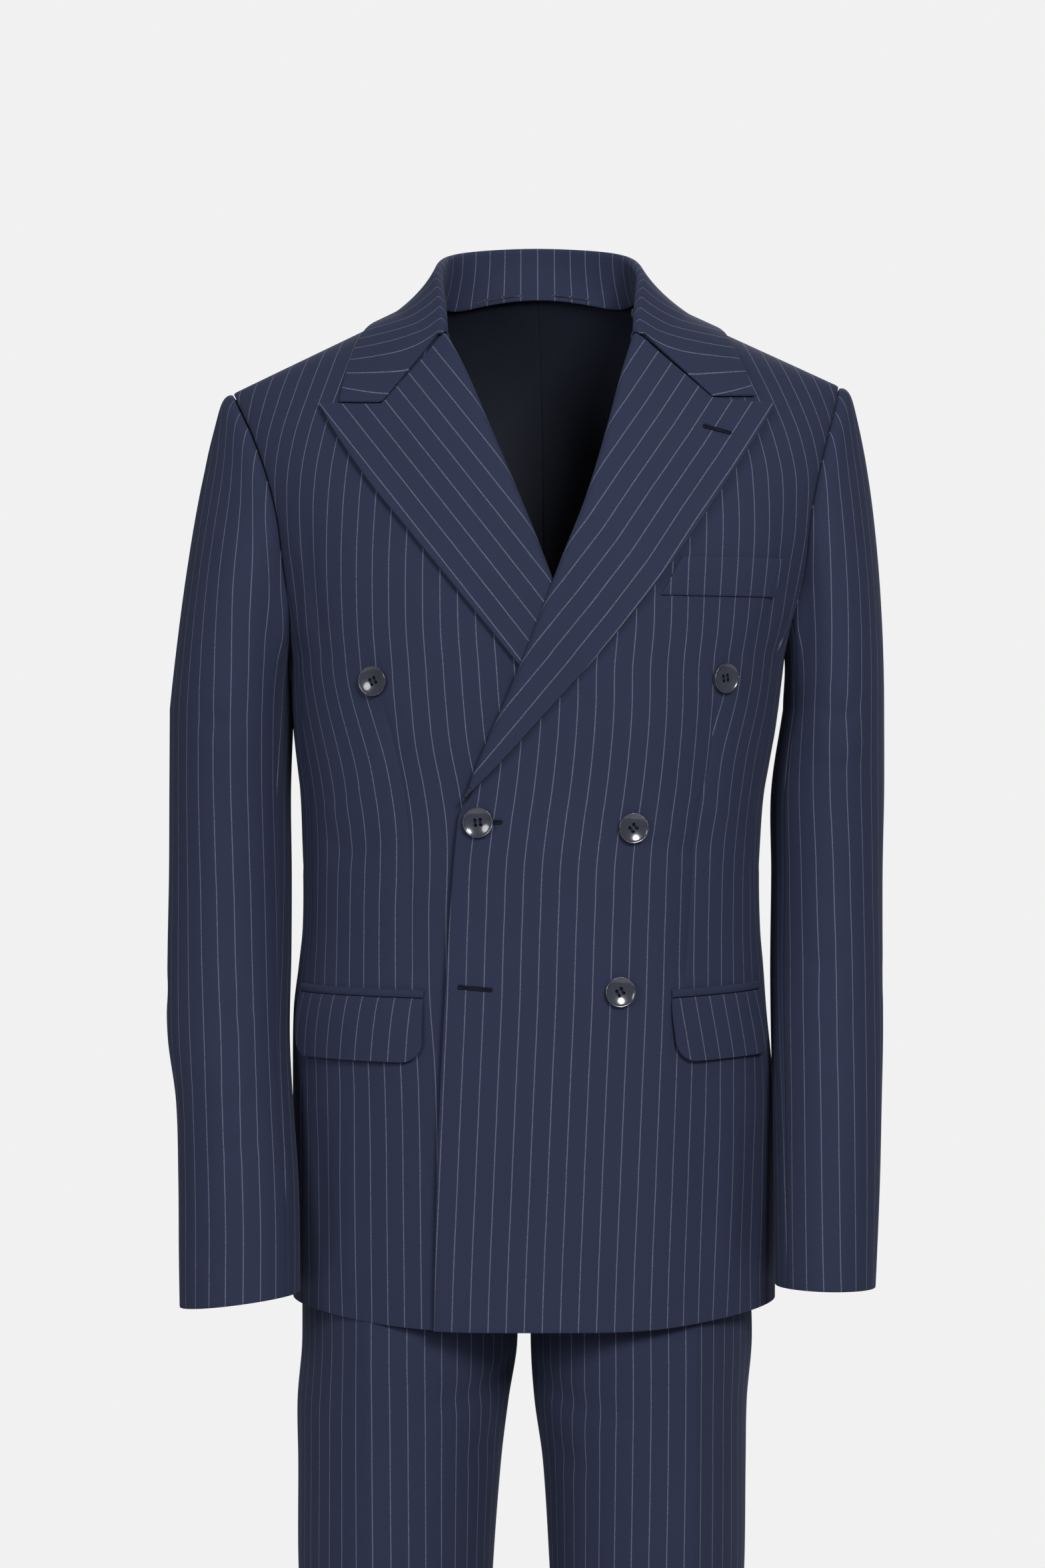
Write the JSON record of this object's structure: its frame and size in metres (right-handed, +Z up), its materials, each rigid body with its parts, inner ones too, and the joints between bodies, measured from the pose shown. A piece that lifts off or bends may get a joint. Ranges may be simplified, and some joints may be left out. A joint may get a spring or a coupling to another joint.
{
  "type": "two-piece suit",
  "caption": "Double-breasted suit jacket with peaked lapels and matching trousers, hollow and in the shape they have when worn, pinstriped cloth.",
  "frame": {"origin": "the middle of the neck opening, level with the inner ends of the shoulder seams, where the wearer's shoulders and neck hold the jacket", "axes": "+Z up along the wearer; the wearer faces -Y; +X is the wearer's left"},
  "size_m": [0.524, 0.2769, 1.5902],
  "materials": {
    "cloth": "navy worsted wool with thin pale chalky stripes 12.7 mm apart, matt",
    "button": "dark navy horn-like resin with a raised rim and four holes, glossy"
  },
  "bodies": {
    "root": {"forepart_left": "cloth", "forepart_right": "cloth", "side_panel_left": "cloth", "side_panel_right": "cloth", "back_left": "cloth", "back_right": "cloth", "lapel_left": "cloth", "lapel_right": "cloth", "collar_fall": "cloth", "collar_stand": "cloth", "breast_welt": "cloth", "pocket_jet_left": "cloth", "pocket_jet_right": "cloth", "pocket_flap_left": "cloth", "pocket_flap_right": "cloth", "sleeve_top_left": "cloth", "sleeve_under_left": "cloth", "sleeve_top_right": "cloth", "sleeve_under_right": "cloth", "trouser_front_left": "cloth", "trouser_front_right": "cloth", "trouser_back_left": "cloth", "trouser_back_right": "cloth", "waistband": "cloth", "trouser_fly": "cloth", "waistband_button": "button", "button_upper_left": "button", "button_upper_right": "button", "button_middle_left": "button", "button_middle_right": "button", "button_lower_left": "button", "button_lower_right": "button", "cuff_button_left_1": "button", "cuff_button_left_2": "button", "cuff_button_left_3": "button", "cuff_button_left_4": "button", "cuff_button_right_1": "button", "cuff_button_right_2": "button", "cuff_button_right_3": "button", "cuff_button_right_4": "button"}
  },
  "joints": []
}
